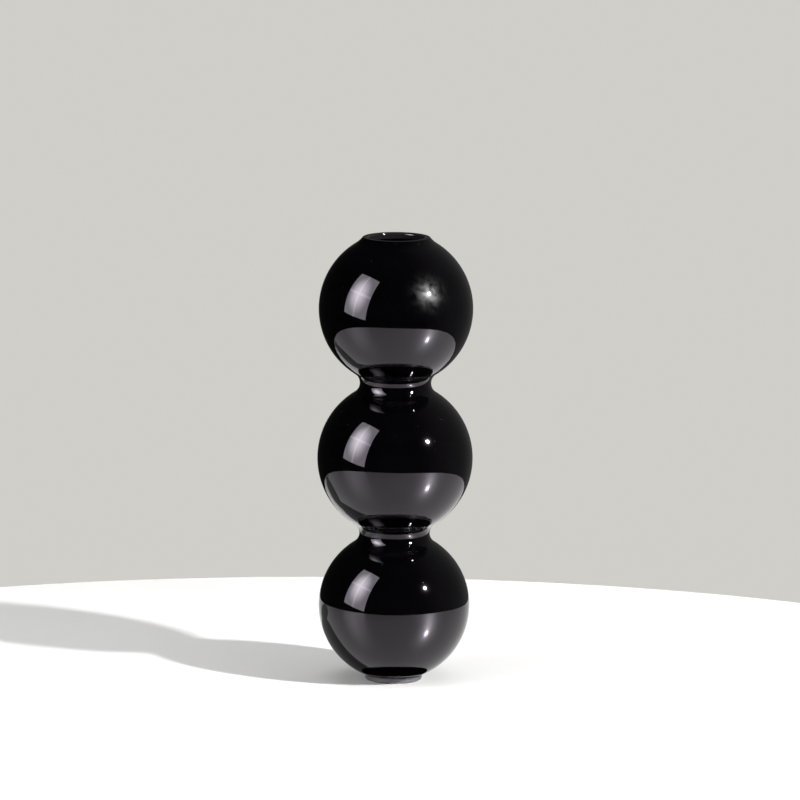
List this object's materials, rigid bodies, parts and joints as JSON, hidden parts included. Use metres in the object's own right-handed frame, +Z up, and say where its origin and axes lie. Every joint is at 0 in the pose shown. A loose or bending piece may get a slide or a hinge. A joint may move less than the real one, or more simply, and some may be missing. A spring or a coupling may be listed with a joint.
{
  "type": "bubble vase",
  "caption": "Slender black glass bud vase of stacked round bubbles with drawn-in necks, a small raised lip round the mouth and a low ring foot, for a few stems.",
  "frame": {"origin": "centre of the foot ring's resting plane", "axes": "+Z up along the vase's axis, out of the mouth; the vase is round, so X and Y are free"},
  "size_m": [0.0706, 0.0706, 0.2039],
  "materials": {
    "black_glass": "opaque gloss, fire-polished"
  },
  "bodies": {
    "root": {"foot_ring": "black_glass", "base_disc": "black_glass", "lower_bubble": "black_glass", "lower_neck": "black_glass", "middle_bubble": "black_glass", "upper_neck": "black_glass", "upper_bubble": "black_glass", "mouth_lip": "black_glass"}
  },
  "joints": []
}
